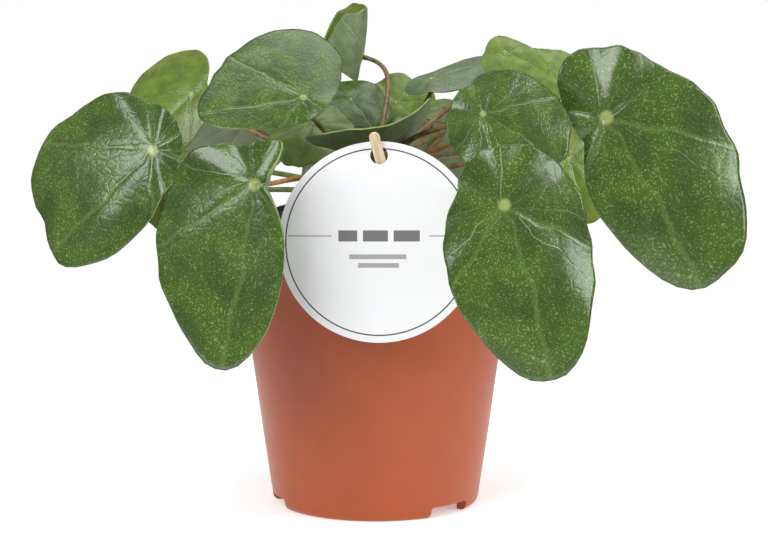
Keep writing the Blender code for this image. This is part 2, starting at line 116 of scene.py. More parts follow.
# Card and stick
CARD_RADIUS = 41 * MM
CARD_THICKNESS = 0.5 * MM
CARD_EDGE = 0.12 * MM
CARD_RING = 38 * MM  # radius of the printed ring
CARD_STAND_OFF = 0.1 * MM
CARD_HEIGHT = 121 * MM
CARD_SIDE = 1.6 * MM
CARD_LEAN = radians(8)
HOLE_RADIUS = 3.6 * MM
HOLE_RISE = 35.3 * MM
STICK_WIDTH = 4.3 * MM
STICK_THICKNESS = 1.4 * MM
STICK_ABOVE = 10.5 * MM
STICK_BELOW = 52 * MM
STICK_EDGE = 0.35 * MM
STICK_DIRECTION = Vector((-0.23, -0.32, 0.92)).normalized()

# Each blade: "at" is where its stalk meets it, in millimetres; "tip" the way its midrib
# leaves, "face" the way its upper side looks, "length" from there to the tip. "outline"
# holds distances to the margin as shares of the length, the tip first, then anticlockwise
# from above; without one the blade is a disc set "off" from the stalk. "droop", "roll":
# bends in degrees; "wave": count, height and phase of the margin's waves. "start", "rise",
# "hook": how the stalk leaves the stem and meets the blade. "tone" and "stalk" pick the
# surfaces. "curl": where the margin rolls up towards the upper side, in degrees from the
# tip, how far to each side of that, and how much of the blade is rolled, in millimetres.
LEAVES = {
    "far_left": dict(
        at=(-92, -35, 156), tip=(-0.75, -0.15, -0.62), face=(-0.25, -0.85, 0.35), length=64,
        outline=(1, 0.9, 0.65, 0.46, 0.335, 0.27, 0.24, 0.21, 0.2, 0.2, 0.2, 0.21, 0.22, 0.245, 0.27,
                 0.305, 0.35, 0.45, 0.55, 0.67, 0.79, 0.86, 0.96, 0.97),
        droop=(22, 18), roll=(18, 14), wave=(7, 2.2, 20), start=(133, 200), rise=22, stalk="green"),
    "front_left": dict(
        at=(-48, -80, 147), tip=(-0.2, -0.2, -0.96), face=(-0.25, -0.93, 0.2), length=75,
        outline=(1, 0.62, 0.25, 0.15, 0.12, 0.13, 0.17, 0.27, 0.25, 0.21, 0.27, 0.38, 0.48, 0.57,
                 0.7, 0.86),
        droop=(14, 16), roll=(10, 16), wave=(6, 1.8, 0),
        start=(132, 236), rise=35, stalk="orange", curl=(100, 55, 5.5)),
    "back_left": dict(
        at=(-80, 25, 174), tip=(-0.7, -0.2, -0.6), face=(-0.35, -0.78, 0.5), length=34,
        outline=(1, 0.85, 0.55, 0.4, 0.3, 0.22, 0.28, 0.55, 0.85, 1, 1.1, 1.05),
        droop=(15, 20), roll=(10, 16), wave=(4, 1, 0), start=(137, 170), rise=24, tone="back"),
    "upper_left": dict(
        at=(-30, -25, 177), tip=(-0.97, -0.1, -0.15), face=(0.03, -0.7, 0.71), length=44,
        outline=(1, 0.6, 0.36, 0.27, 0.25, 0.26, 0.31, 0.48, 0.8, 0.96, 0.96, 0.95),
        droop=(12, 12), roll=(12, 8), wave=(3, 1.5, 10), start=(142, 218), rise=45),
    "back_upright": dict(
        at=(-6.5, 67, 187), tip=(0.17, 0, 0.98), face=(-0.97, 0, 0.2), length=22,
        outline=(1, 1.1, 1.2, 1.1, 0.8, 0.6, 0.5, 0.55, 0.7, 1, 1, 1),
        droop=(-10, 0), roll=(-45, -60), wave=(3, 0.5, 0), start=(150, 78), rise=55, tone="back"),
    "low_centre_left": dict(
        at=(-27, 17, 162), tip=(-0.3, -0.85, -0.4), face=(-0.15, -0.5, 0.85), length=25,
        outline=(1, 0.9, 0.8, 0.7, 0.65, 0.6, 0.55, 0.55, 0.65, 0.75, 0.8, 0.9),
        droop=(24, 14), roll=(14, 14), wave=(5, 1.5, 0),
        start=(145, 150), rise=55, hook=0.4, tone="back"),
    "low_centre_right": dict(
        at=(14, 34, 157), tip=(0.1, -0.85, -0.45), face=(0.05, -0.5, 0.86), length=16,
        off=0.15, droop=(14, 14), roll=(14, 14), wave=(4, 1, 0),
        start=(140, 75), rise=25, hook=0.35, tone="back"),
    "cupped_centre": dict(
        at=(-4, -22, 157.5), tip=(1, 0, 0.06), face=(0, 0.42, 0.9), length=35,
        outline=(1, 0.75, 0.5, 0.42, 0.42, 0.5, 0.72, 0.5, 0.42, 0.42, 0.5, 0.75),
        droop=(-70, -8), roll=(-6, -12), wave=(2, 0.6, 0),
        start=(147, 270), rise=25, hook=0.2, tone="pale"),
    "mid_centre": dict(
        at=(-11, 44, 170), tip=(0.5, -0.75, -0.35), face=(0.05, -0.6, 0.8), length=20,
        off=0.15, droop=(10, 10), roll=(12, 12), wave=(4, 1, 0),
        start=(144, 128), rise=30, hook=0.4),
    "mid_back": dict(
        at=(9, 72, 166), tip=(0.8, 0, 0.1), face=(0.05, -0.8, 0.6), length=18,
        off=0.1, droop=(10, 10), roll=(12, 12), wave=(5, 1.5, 30),
        start=(145, 86), rise=10, hook=0.5, tone="back"),
    "arched_right": dict(
        at=(24, 24, 181), tip=(0.93, -0.1, 0.32), face=(-0.3, -0.25, 0.92), length=28,
        outline=(1, 0.9, 0.7, 0.52, 0.45, 0.42, 0.46, 0.42, 0.45, 0.52, 0.7, 0.9),
        droop=(4, 26), roll=(14, 14), wave=(3, 0.8, 0), start=(147, 35), rise=60, tone="pale"),
    "small_top": dict(
        at=(55, 0, 194), tip=(0.88, -0.1, -0.45), face=(0.15, -0.75, 0.65), length=21,
        outline=(1, 0.7, 0.5, 0.45, 0.45, 0.42, 0.4, 0.45, 0.6, 0.6, 0.5, 0.8),
        droop=(14, 20), roll=(16, 10), wave=(3, 0.6, 0),
        start=(145, 0), rise=50, hook=0.3, tone="back"),
    "back_right_top": dict(
        at=(76, 42, 184), tip=(0.4, -0.75, -0.5), face=(0.15, -0.72, 0.68), length=17,
        off=0.1, droop=(14, 14), roll=(12, 12), wave=(4, 0.8, 0),
        start=(141, 28), rise=45, tone="back"),
    "right_centre": dict(
        at=(44, -50, 172.5), tip=(0.85, -0.1, -0.5), face=(0.08, -0.9, 0.42), length=38,
        outline=(1, 0.97, 0.82, 0.62, 0.5, 0.36, 0.36, 0.38, 0.45, 0.55, 0.68, 0.8),
        droop=(16, 14), roll=(14, 12), wave=(5, 1.2, 0), start=(143, 310), rise=60),
    "front_right": dict(
        at=(51, -97, 141), tip=(0.3, -0.1, -0.95), face=(0.15, -0.97, 0.15), length=72,
        outline=(1, 0.72, 0.5, 0.42, 0.38, 0.34, 0.32, 0.3, 0.28, 0.34, 0.48, 0.72),
        droop=(12, 16), roll=(20, 16), wave=(6, 1.8, 0), start=(131, 312), rise=35),
    "far_right": dict(
        at=(95.5, -35, 169.5), tip=(0.5, -0.15, -0.85), face=(-0.1, -0.97, 0.15), length=84,
        outline=(1, 0.78, 0.6, 0.43, 0.37, 0.36, 0.37, 0.27, 0.18, 0.17, 0.22, 0.55),
        droop=(16, 20), roll=(24, 30), wave=(6, 2.2, 0), start=(137, 338), rise=50, stalk="orange"),
    "right_behind": dict(
        at=(84, 22, 146), tip=(0.3, -0.25, -0.93), face=(0.25, -0.9, 0.3), length=30,
        off=0.2, droop=(14, 14), roll=(12, 12), wave=(4, 1, 0),
        start=(134, 15), rise=35, tone="back"),
    "left_behind": dict(
        at=(-84, 4, 138), tip=(-0.5, -0.2, -0.75), face=(-0.35, -0.8, 0.45), length=22,
        off=0.2, droop=(14, 14), roll=(12, 12), wave=(4, 1, 0),
        start=(132, 174), rise=12, tone="back", stalk="green"),
    "right_low_behind": dict(
        at=(31, 42, 167), tip=(-0.7, -0.2, 0), face=(-0.1, -0.3, 0.94), length=13,
        off=0.1, droop=(14, 14), roll=(12, 12), wave=(3, 0.6, 0),
        start=(139, 5), rise=35, hook=0.3, tone="back"),
    "rear_left": dict(
        at=(-56, 58, 160), tip=(-0.6, 0.55, -0.55), face=(-0.35, 0.6, 0.7), length=40,
        off=0.3, droop=(18, 14), roll=(14, 14), wave=(4, 1.2, 0), start=(134, 132), rise=40),
    "rear_right": dict(
        at=(50, 74, 152), tip=(0.5, 0.6, -0.6), face=(0.3, 0.65, 0.7), length=42,
        off=0.3, droop=(18, 14), roll=(14, 14), wave=(5, 1.2, 0), start=(133, 55), rise=40),
    "rear_middle": dict(
        at=(-4, 94, 138), tip=(-0.1, 0.65, -0.75), face=(-0.05, 0.8, 0.6), length=42,
        off=0.3, droop=(18, 14), roll=(16, 14), wave=(4, 1.2, 0), start=(133, 95), rise=35),
}


def surface(name, colour, roughness):
    """A node material, its node tree, its Principled shader and a function that adds and wires nodes.

    The function takes settings of the node and values or sockets for its inputs: i0, i1 and so on
    for an input by its place, or else the input's name.
    """
    made = bpy.data.materials.new(name)
    made.use_nodes = True
    tree = made.node_tree
    shader = tree.nodes["Principled BSDF"]
    shader.inputs["Base Color"].default_value = (*colour, 1)
    shader.inputs["Roughness"].default_value = roughness

    def add(kind, settings=None, **wires):
        node = tree.nodes.new("ShaderNode" + kind)
        for key, value in (settings or {}).items():
            setattr(node, key, value)
        for key, value in wires.items():
            spot = node.inputs[int(key[1:]) if key[1:].isdigit() else key]
            if isinstance(value, bpy.types.NodeSocket):
                tree.links.new(value, spot)
            else:
                spot.default_value = value
        return node

    return made, tree, shader, add


def math(add, operation, *values):
    wires = {f"i{place}": value for place, value in enumerate(values)}
    return add("Math", {"operation": operation}, **wires).outputs[0]


def span(add, value, low, high, first=0.0, last=1.0):
    """The value's place from low to high, smoothly, given as a share from first to last."""
    smooth = {"interpolation_type": "SMOOTHSTEP"}
    return add("MapRange", smooth, i0=value, i1=low, i2=high, i3=first, i4=last).outputs[0]


def blend(add, share, first, last):
    """A colour that share takes from the first colour to the last."""
    node = add("Mix", {"data_type": "RGBA"})
    for spot, value in ((0, share), (6, first), (7, last)):
        if isinstance(value, bpy.types.NodeSocket):
            node.id_data.links.new(value, node.inputs[spot])
        else:
            node.inputs[spot].default_value = value if spot == 0 else (*value, 1)
    return node.outputs[2]


def reach_of(add, x, y):
    """The distance from the middle to a flat place."""
    return math(add, "SQRT", math(add, "ADD", math(add, "MULTIPLY", x, x), math(add, "MULTIPLY", y, y)))


def leaf_surface(name, dark, light, speckle, vein, amount, roughness, glow):
    """A blade's side: veins out of the stalk's end, quilting between them with painted shade along its
    creases, pale specks and dashes.
    """
    made, tree, shader, add = surface(name, light, roughness)
    place = add("UVMap").outputs[0]
    wobble = add("TexNoise", None, Vector=place, Scale=3.5, Detail=2.0).outputs[1]
    shift = add("VectorMath", {"operation": "SUBTRACT"}, i0=wobble, i1=(0.5, 0.5, 0.5)).outputs[0]
    bend = add("VectorMath", {"operation": "SCALE"}, i0=shift, Scale=0.16).outputs[0]
    flat = add("VectorMath", {"operation": "ADD"}, i0=place, i1=bend).outputs[0]
    parts = add("SeparateXYZ", None, i0=flat)
    true = add("SeparateXYZ", None, i0=place)
    reach = reach_of(add, true.outputs[0], true.outputs[1])
    turn = math(add, "ARCTAN2", parts.outputs[1], parts.outputs[0])
    spokes = math(add, "ABSOLUTE", math(add, "SINE", math(add, "MULTIPLY", turn, 5.5)))
    fine = math(add, "MULTIPLY", spokes, reach)
    ribs = []
    for angle in RIB_ANGLES:
        half = math(add, "MULTIPLY", math(add, "SUBTRACT", turn, angle), 0.5)
        ribs.append(math(add, "MULTIPLY", math(add, "ABSOLUTE", math(add, "SINE", half)), reach))
    rib = math(add, "MINIMUM", math(add, "MINIMUM", ribs[0], ribs[1]), ribs[2])
    main = span(add, rib, 0.002, 0.012, 1.0, 0.0)
    inner = span(add, reach, 0.75, 0.25, 0.0, 0.6)
    side = math(add, "MULTIPLY", span(add, fine, 0.006, 0.03, 1.0, 0.0), inner)
    veins = math(add, "MAXIMUM", main, side)
    net = add("TexVoronoi", {"feature": "DISTANCE_TO_EDGE"}, Vector=flat, Scale=15.0).outputs[0]
    quilt = span(add, net, 0.0, 0.2, 0.0, 1.0)
    patches = add("TexNoise", None, Vector=place, Scale=4.0, Detail=4.0).outputs[0]
    grain = add("TexNoise", None, Vector=place, Scale=95.0, Detail=1.0).outputs[0]
    round_it, outwards = math(add, "MULTIPLY", turn, 16.0), math(add, "MULTIPLY", reach, 22.0)
    stretched = add("CombineXYZ", None, i0=round_it, i1=outwards)
    dashes = add("TexNoise", None, Vector=stretched.outputs[0], Scale=1.6, Detail=1.5).outputs[0]
    specks = math(add, "MAXIMUM", span(add, grain, 0.60, 0.68), span(add, dashes, 0.63, 0.69, 0.0, 0.8))
    speck_share = math(add, "MULTIPLY", specks, span(add, patches, 0.35, 0.65, 0.35, 1.0))
    speck_share = math(add, "MULTIPLY", speck_share, amount)
    colour = blend(add, span(add, patches, 0.3, 0.7), dark, light)
    # painted shade: darker along the seams of the quilting, where the bump sinks into creases
    colour = blend(add, math(add, "MULTIPLY", math(add, "SUBTRACT", 1.0, quilt), 0.35), colour, dark)
    colour = blend(add, math(add, "MULTIPLY", veins, 0.55), colour, vein)
    colour = blend(add, speck_share, colour, speckle)
    colour = blend(add, span(add, reach, 0.02, 0.045, 0.9, 0.0), colour, STALK_DOT)
    tree.links.new(colour, shader.inputs["Base Color"])
    rough = math(add, "ADD", roughness, math(add, "MULTIPLY", grain, 0.12))
    tree.links.new(rough, shader.inputs["Roughness"])
    shader.inputs["Specular IOR Level"].default_value = 0.8
    height = math(add, "SUBTRACT", math(add, "MULTIPLY", quilt, 0.16), math(add, "MULTIPLY", veins, 0.6))
    height = math(add, "ADD", height, math(add, "MULTIPLY", grain, 0.12))
    bump = add("Bump", None, Strength=0.4, Distance=0.0007, Height=height).outputs[0]
    tree.links.new(bump, shader.inputs["Normal"])
    through = add("BsdfTranslucent", None, Color=(*glow, 1)).outputs[0]
    mixed = add("MixShader", None, i0=0.16, i1=shader.outputs[0], i2=through)
    tree.links.new(mixed.outputs[0], tree.nodes["Material Output"].inputs[0])
    return made


def noisy_surface(name, dark, light, roughness, scale, bump_height, stretch=(1, 1, 1)):
    """A material whose colour and height drift between two tones."""
    made, tree, shader, add = surface(name, light, roughness)
    place = add("TexCoord").outputs[3]
    sized = add("Mapping", None, Vector=place, Scale=stretch).outputs[0]
    cloud = add("TexNoise", None, Vector=sized, Scale=scale, Detail=5.0).outputs[0]
    tree.links.new(blend(add, span(add, cloud, 0.3, 0.7), dark, light), shader.inputs["Base Color"])
    rough = math(add, "ADD", roughness - 0.05, math(add, "MULTIPLY", cloud, 0.1))
    tree.links.new(rough, shader.inputs["Roughness"])
    bump = add("Bump", None, Strength=0.6, Distance=bump_height, Height=cloud).outputs[0]
    tree.links.new(bump, shader.inputs["Normal"])
    return made


# Print bars: left, right and middle height on the card, half their height, darkness.
CARD_BARS = (
    (-0.037, -0.0195, 0.0025, 0.0002, 0.6),
    (0.0205, 0.032, 0.0025, 0.0002, 0.6),
    (-0.0165, -0.009, 0.0025, 0.0022, 0.85),
    (-0.0065, 0.0035, 0.0025, 0.0022, 0.85),
    (0.006, 0.0165, 0.0025, 0.0022, 0.85),
    (-0.012, 0.011, -0.006, 0.0009, 0.6),
    (-0.0085, 0.008, -0.0095, 0.0009, 0.6),
)


def card_surface():
    """White card with a thin ring inside its edge, two thin rules and plain bars for its print."""
    made, tree, shader, add = surface("card_print", (0.86, 0.86, 0.87), 0.45)
    parts = add("SeparateXYZ", None, i0=add("TexCoord").outputs[3])
    x, y = parts.outputs[0], parts.outputs[1]
    reach = reach_of(add, x, y)
    off_ring = math(add, "ABSOLUTE", math(add, "SUBTRACT", reach, CARD_RING))
    ink = span(add, off_ring, 0.0002, 0.00035, 1.0, 0.0)

    def bar(left, right, middle, half, strength):
        off_x = math(add, "ABSOLUTE", math(add, "SUBTRACT", x, (left + right) / 2))
        off_y = math(add, "ABSOLUTE", math(add, "SUBTRACT", y, middle))
        across = span(add, off_x, (right - left) / 2, (right - left) / 2 + 0.0002, 1.0, 0.0)
        up = span(add, off_y, half, half + 0.00015, 1.0, 0.0)
        return math(add, "MULTIPLY", math(add, "MULTIPLY", across, up), strength)

    for made_bar in CARD_BARS:
        ink = math(add, "MAXIMUM", ink, bar(*made_bar))
    ink = math(add, "MULTIPLY", ink, math(add, "GREATER_THAN", parts.outputs[2], 0.0))
    fibre = add("TexNoise", None, Vector=add("TexCoord").outputs[3], Scale=900.0, Detail=3.0).outputs[0]
    paper = blend(add, fibre, (0.9, 0.9, 0.92), (0.95, 0.95, 0.96))
    tree.links.new(blend(add, ink, paper, (0.05, 0.05, 0.05)), shader.inputs["Base Color"])
    bump = add("Bump", None, Strength=0.15, Distance=0.0001, Height=fibre).outputs[0]
    tree.links.new(bump, shader.inputs["Normal"])
    return made


def add_object(name, data):
    obj = bpy.data.objects.new(name, data)
    bpy.context.scene.collection.objects.link(obj)
    return obj


def piece(name, mesh, materials, cad_node, sharp=80):
    """A finished piece that rides on the body and stands for its CAD node, smooth below an angle."""
    obj = add_object(name, mesh)
    for made in materials:
        mesh.materials.append(made)
    mesh.shade_smooth()
    mesh.set_sharp_from_angle(angle=radians(sharp))
    return finish_piece(obj, cad_node)


def finish_piece(obj, cad_node):
    """Rides the piece on the plant's one body, in place of its CAD node."""
    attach(obj, "root")
    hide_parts(cad_node)
    return obj


def mesh_from(name, bm):
    mesh = bpy.data.meshes.new(name)
    bm.to_mesh(mesh)
    bm.free()
    return mesh


def mesh_of(name, points, faces):
    mesh = bpy.data.meshes.new(name)
    mesh.from_pydata([tuple(p) for p in points], [], faces)
    mesh.validate()
    return mesh


def tube(name, path, radii, sides):
    """A closed tube along a path, with a radius at each of its points."""
    points, faces = [], []
    side = Vector((0.3, 0.9, 0.2))
    for index, (centre, radius) in enumerate(zip(path, radii)):
        ahead = path[min(index + 1, len(path) - 1)] - path[max(index - 1, 0)]
        ahead.normalize()
        side = (side - ahead * side.dot(ahead)).normalized()
        other = ahead.cross(side)
        for turn in (tau * k / sides for k in range(sides)):
            points.append(centre + (side * cos(turn) + other * sin(turn)) * radius)
    for ring in range(len(path) - 1):
        base = ring * sides
        for k in range(sides):
            n = (k + 1) % sides
            faces.append((base + k, base + n, base + sides + n, base + sides + k))
    faces.append(tuple(reversed(range(sides))))
    faces.append(tuple(range(len(points) - sides, len(points))))
    return mesh_of(name, [TO_FRAME @ p for p in points], faces)


def turned(name, profile, steps, shape=None):
    """A closed profile of (radius, height) turned about the pot's axis; shape moves each point."""
    points, faces = [], []
    for k in range(steps):
        turn = tau * k / steps
        for r, z in profile:
            point = Vector((r * cos(turn), r * sin(turn), z))
            points.append(shape(point) if shape else point)
    count = len(profile)
    for k in range(steps):
        here, there = k * count, (k + 1) % steps * count
        for i in range(count):
            j = (i + 1) % count
            faces.append((here + i, here + j, there + j, there + i))
    mesh = mesh_of(name, points, faces)
    bm = bmesh.new()
    bm.from_mesh(mesh)
    bmesh.ops.remove_doubles(bm, verts=bm.verts, dist=0.000005)
    bmesh.ops.recalc_face_normals(bm, faces=bm.faces)
    bm.to_mesh(mesh)
    bm.free()
    return mesh


def box_mesh(name, size, corner):
    bm = bmesh.new()
    bmesh.ops.create_cube(bm, size=1)
    bmesh.ops.scale(bm, vec=size, verts=bm.verts)
    bmesh.ops.bevel(bm, geom=bm.edges, offset=corner, segments=3, profile=0.5, affect="EDGES")
    return mesh_from(name, bm)


def disc_mesh(name, radius, depth, sides):
    bm = bmesh.new()
    bmesh.ops.create_cone(bm, cap_ends=True, segments=sides, radius1=radius, radius2=radius, depth=depth)
    return mesh_from(name, bm)


def cut_mesh(mesh, cutters):
    """The mesh less each (mesh, matrix) cutter."""
    body = add_object("body", mesh)
    tools = []
    for cutter, matrix in cutters:
        tool = add_object("tool", cutter)
        tool.matrix_world = matrix
        tools.append(tool)
        step = body.modifiers.new("cut", "BOOLEAN")
        step.operation = "DIFFERENCE"
        step.solver = "EXACT"
        step.object = tool
    bpy.context.view_layer.update()
    graph = bpy.context.evaluated_depsgraph_get()
    result = bpy.data.meshes.new_from_object(body.evaluated_get(graph))
    for obj in [body, *tools]:
        bpy.data.objects.remove(obj)
    return result


def arc(centre, radius, first, last, steps):
    """Points on a circle of (radius, height), from one angle to another, in degrees."""
    turns = [radians(first + (last - first) * i / steps) for i in range(steps + 1)]
    return [(centre[0] + radius * cos(t), centre[1] + radius * sin(t)) for t in turns]


def wall(height):
    """The pot's outer radius at a height."""
    return POT_FOOT + (POT_TOP - POT_FOOT) * height / POT_HEIGHT


def make_pot():
    """The moulded shell, with three notches in its foot skirt and drain holes in its raised floor."""
    rim_foot = POT_HEIGHT - RIM_HEIGHT
    floor_top = FLOOR_RISE + POT_WALL
    outer = wall(0) - FOOT_ROUND
    inner = outer - FOOT_WIDTH
    profile = arc((POT_TOP - POT_WALL + LIP_ROUND, POT_HEIGHT - LIP_ROUND), LIP_ROUND, 180, 90, 4)
    profile += arc((POT_TOP, POT_HEIGHT - RIM_BEAD), RIM_BEAD, 90, 0, 5)
    profile += arc((wall(rim_foot) + RIM_BEAD - LIP_ROUND, rim_foot + LIP_ROUND), LIP_ROUND, 0, -90, 4)
    profile += [(wall(h), h) for h in (rim_foot - 0.3 * MM, 90 * MM, 60 * MM, 30 * MM)]
    profile += arc((outer, FOOT_ROUND), FOOT_ROUND, 0, -90, 8)
    profile += [(inner, 0), (inner, FLOOR_RISE), (DRAIN_RADIUS, FLOOR_RISE), (DRAIN_RADIUS, floor_top)]
    profile += [(wall(floor_top) - 2 * POT_WALL, floor_top), (wall(2 * floor_top) - POT_WALL, 2 * floor_top)]
    cutters = []
    for bearing in NOTCH_BEARINGS:
        place = Matrix.Rotation(radians(bearing), 4, "Z") @ Matrix.Translation((POT_FOOT, 0, 0))
        size = (NOTCH_DEPTH, NOTCH_WIDTH, 2 * NOTCH_HEIGHT)
        cutters.append((box_mesh("notch", size, NOTCH_CORNER), place))
    for number in range(DRAIN_COUNT):
        bearing = radians(NOTCH_BEARINGS[0]) + tau * (number + 0.5) / DRAIN_COUNT
        place = Matrix.Rotation(bearing, 4, "Z") @ Matrix.Translation((DRAIN_RING, 0, FLOOR_RISE))
        cutters.append((disc_mesh("drain", DRAIN_RADIUS, 12 * MM, 24), place))
    mesh = cut_mesh(turned("pot_shell", profile, POT_STEPS), cutters)
    mesh.transform(TO_FRAME)
    piece("pot_shell", mesh, [POT_PLASTIC], "pot", 35)


def make_soil():
    """The peat that fills the pot, its top rough and strewn with crumbs."""
    dice = Random(7)
    floor_top = FLOOR_RISE + POT_WALL
    edge = POT_HEIGHT - SOIL_EDGE_DROP
    top = [(r * MM, z * MM) for r, z in SOIL_MOUND] + [(wall(edge) - POT_WALL - GAP, edge)]
    profile = []
    for (r0, z0), (r1, z1) in zip(top, top[1:]):
        steps = max(2, round(hypot(r1 - r0, z1 - z0) / SOIL_STRETCH))
        profile += [(r0 + (r1 - r0) * i / steps, z0 + (z1 - z0) * i / steps) for i in range(steps)]
    profile += [top[-1], (wall(2 * floor_top) - POT_WALL - GAP, 2 * floor_top + GAP)]
    profile += [(wall(floor_top) - 2 * POT_WALL - 2 * GAP, floor_top + GAP), (0, floor_top + GAP)]

    def crumble(point):
        if point.z < edge + 0.1 * MM:
            return point
        rough = noise.fractal(point * SOIL_GRAIN, 1.0, 2.0, 4) * SOIL_ROUGHNESS
        return point + Vector((0, 0, rough))

    bm = bmesh.new()
    bm.from_mesh(turned("soil_peat", profile, SOIL_STEPS, crumble))
    for _ in range(CRUMBS):
        reach = sqrt(dice.random()) * CRUMB_REACH
        turn = dice.random() * tau
        spots = [s for s in SOIL_MOUND if s[0] * MM <= reach]
        low, high = spots[-1], SOIL_MOUND[len(spots)]
        share = (reach / MM - low[0]) / (high[0] - low[0])
        height = (low[1] + (high[1] - low[1]) * share) * MM
        size = dice.uniform(0.4, 1.3) * MM
        place = Matrix.Translation((reach * cos(turn), reach * sin(turn), height))
        place = place @ Matrix.Rotation(dice.random() * pi, 4, "X")
        place = place @ Matrix.Rotation(dice.random() * pi, 4, "Z")
        width, height = size * dice.uniform(0.5, 1), size * dice.uniform(0.4, 0.8)
        place = place @ Matrix.Diagonal((size, width, height, 1))
        bmesh.ops.create_icosphere(bm, subdivisions=1, radius=1, matrix=place)
    mesh = mesh_from("soil_peat", bm)
    mesh.transform(TO_FRAME)
    piece("soil_peat", mesh, [PEAT], "soil", 50)


def stem_radius(height):
    """The stem keeps its radius in the peat and thins above it."""
    share = min(max((height - SOIL_TOP) / (STEM_TOP - SOIL_TOP), 0), 1)
    return STEM_RADIUS + (STEM_TOP_RADIUS - STEM_RADIUS) * share


def make_stem():
    """A short scarred stem with a rounded growing tip."""
    heights = [STEM_FOOT + (STEM_TOP - STEM_FOOT) * i / 60 for i in range(61)]
    path = [Vector((0, 0, z)) for z in heights]
    radii = [stem_radius(z) * (1 + 0.035 * sin(z / MM * 1.9)) for z in heights]
    for step in range(1, 6):
        path.append(Vector((0, 0, STEM_TOP + BUD_HEIGHT * sin(step * pi / 11))))
        radii.append(STEM_TOP_RADIUS * cos(step * pi / 11))
    piece("stem_wood", tube("stem_wood", path, radii, 28), [STEM_BARK], "stem")


def leaf_axes(leaf):
    """The blade's own axes: along its midrib, across it, and out of its upper side."""
    out = Vector(leaf["face"]).normalized()
    along = Vector(leaf["tip"])
    along = (along - out * along.dot(out)).normalized()
    return along, out.cross(along), out


def margin_share(leaf, turn):
    """The distance to the margin at a turn from the tip, as a share of the length."""
    shares = leaf.get("outline")
    if not shares:
        off = leaf.get("off", 0.25)
        radius = 1 / (1 + off)
        return off * radius * cos(turn) + radius * sqrt(1 - (off * sin(turn)) ** 2)
    place = turn / tau * len(shares) % len(shares)
    first = int(place)
    t = place - first
    a, b, c, d = (shares[(first + step) % len(shares)] for step in (-1, 0, 1, 2))
    return b + 0.5 * t * (c - a + t * (2 * a - 5 * b + 4 * c - d + t * (3 * (b - c) + d - a)))


def bent(distance, rate):
    """How far a strip reaches and falls over a distance, if its slope grows at a rate."""
    steps = 12
    reach = fall = 0.0
    for step in range(steps):
        slope = rate * abs(distance) * (step + 0.5) / steps
        reach += cos(slope) * abs(distance) / steps
        fall += sin(slope) * abs(distance) / steps
    return copysign(reach, distance), fall, rate * abs(distance)


def blade_point(leaf, seed, turn, share):
    """A point of the blade's middle surface in its own axes, and its flat place in blade lengths.

    The margin is uneven and waved, the surface puckered, and the main veins lie in grooves.
    """
    length = leaf["length"] * MM
    ring = Vector((cos(turn), sin(turn), 0))
    broad = noise.noise(ring * 1.6 + Vector((0, 0, seed * 3.7)))
    small = noise.noise(ring * 5 + Vector((0, 0, seed)))
    margin = margin_share(leaf, turn) * length * (1 + MARGIN_UNEVENNESS * (broad + small))
    distance = share * margin
    lift = 0.0
    curl = leaf.get("curl")
    if curl:
        off = (turn - radians(curl[0]) + pi) % tau - pi
        width = curl[2] * MM * exp(-((off / radians(curl[1])) ** 4))
        rolled = distance - (margin - width)
        if rolled > 0:
            distance = margin - width + CURL_RADIUS * sin(rolled / CURL_RADIUS)
            lift += CURL_RADIUS * (1 - cos(rolled / CURL_RADIUS))
    u, v = distance * cos(turn), distance * sin(turn)
    droop = radians(leaf["droop"][0 if u > 0 else 1]) / (length if u > 0 else 0.5 * length)
    roll = radians(leaf["roll"][0 if v > 0 else 1]) / (0.5 * length)
    along, fall, tilt = bent(u, droop)
    across, sag, lean = bent(v, roll)
    count, height, phase = leaf["wave"]
    lift += height * MM * share**2 * sin(count * turn + radians(phase))
    for pucker, many, shift in PUCKERS:
        lift += pucker * share * noise.noise(Vector((u, v, seed + shift)) * many)
    for rib in RIB_ANGLES + HIND_RIB_ANGLES:
        off = abs(sin((turn - rib) / 2)) * 2 * distance
        if cos(turn - rib) > 0:
            lift -= RIB_DEPTH * exp(-((off / RIB_WIDTH) ** 2)) * (1 - share) * min(1, 6 * share)
    across += copysign(sin(lean), v) * lift
    out = cos(lean) * lift - sag
    point = Vector((along + copysign(sin(tilt), u) * out, across, cos(tilt) * out - fall))
    return point, (u / length, v / length)


def make_blade(name, leaf, seed):
    """A disc of rings about the stalk's end, shaped point by point and thickened."""
    along, across, out = leaf_axes(leaf)
    turn_axes = Matrix((along, across, out)).transposed().to_4x4()
    place = TO_FRAME @ Matrix.Translation(Vector(leaf["at"]) * MM) @ turn_axes
    points, flats, faces = [], [], []
    point, flat = blade_point(leaf, seed, 0, 0)
    points.append(place @ point)
    flats.append(flat)
    for ring in range(1, RINGS + 1):
        share = 1 - (1 - ring / RINGS) ** 1.15
        for k in range(SECTORS):
            point, flat = blade_point(leaf, seed, tau * k / SECTORS, share)
            points.append(place @ point)
            flats.append(flat)
    for k in range(SECTORS):
        faces.append((0, 1 + k, 1 + (k + 1) % SECTORS))
    for ring in range(RINGS - 1):
        base = 1 + ring * SECTORS
        for k in range(SECTORS):
            n = (k + 1) % SECTORS
            faces.append((base + k, base + SECTORS + k, base + SECTORS + n, base + n))
    mesh = mesh_of("blade_" + name, points, faces)
    layer = mesh.uv_layers.new(name="UVMap")
    for loop in mesh.loops:
        layer.data[loop.index].uv = flats[loop.vertex_index]
    top, under = LEAF_TONES[leaf.get("tone", "front")]
    obj = piece("blade_" + name, mesh, [top, under, LEAF_RIM], "leaf_" + name)
    thick = obj.modifiers.new("thickness", "SOLIDIFY")
    thick.thickness = BLADE_THICKNESS
    thick.offset = 0
    thick.material_offset = 1
    thick.material_offset_rim = 2


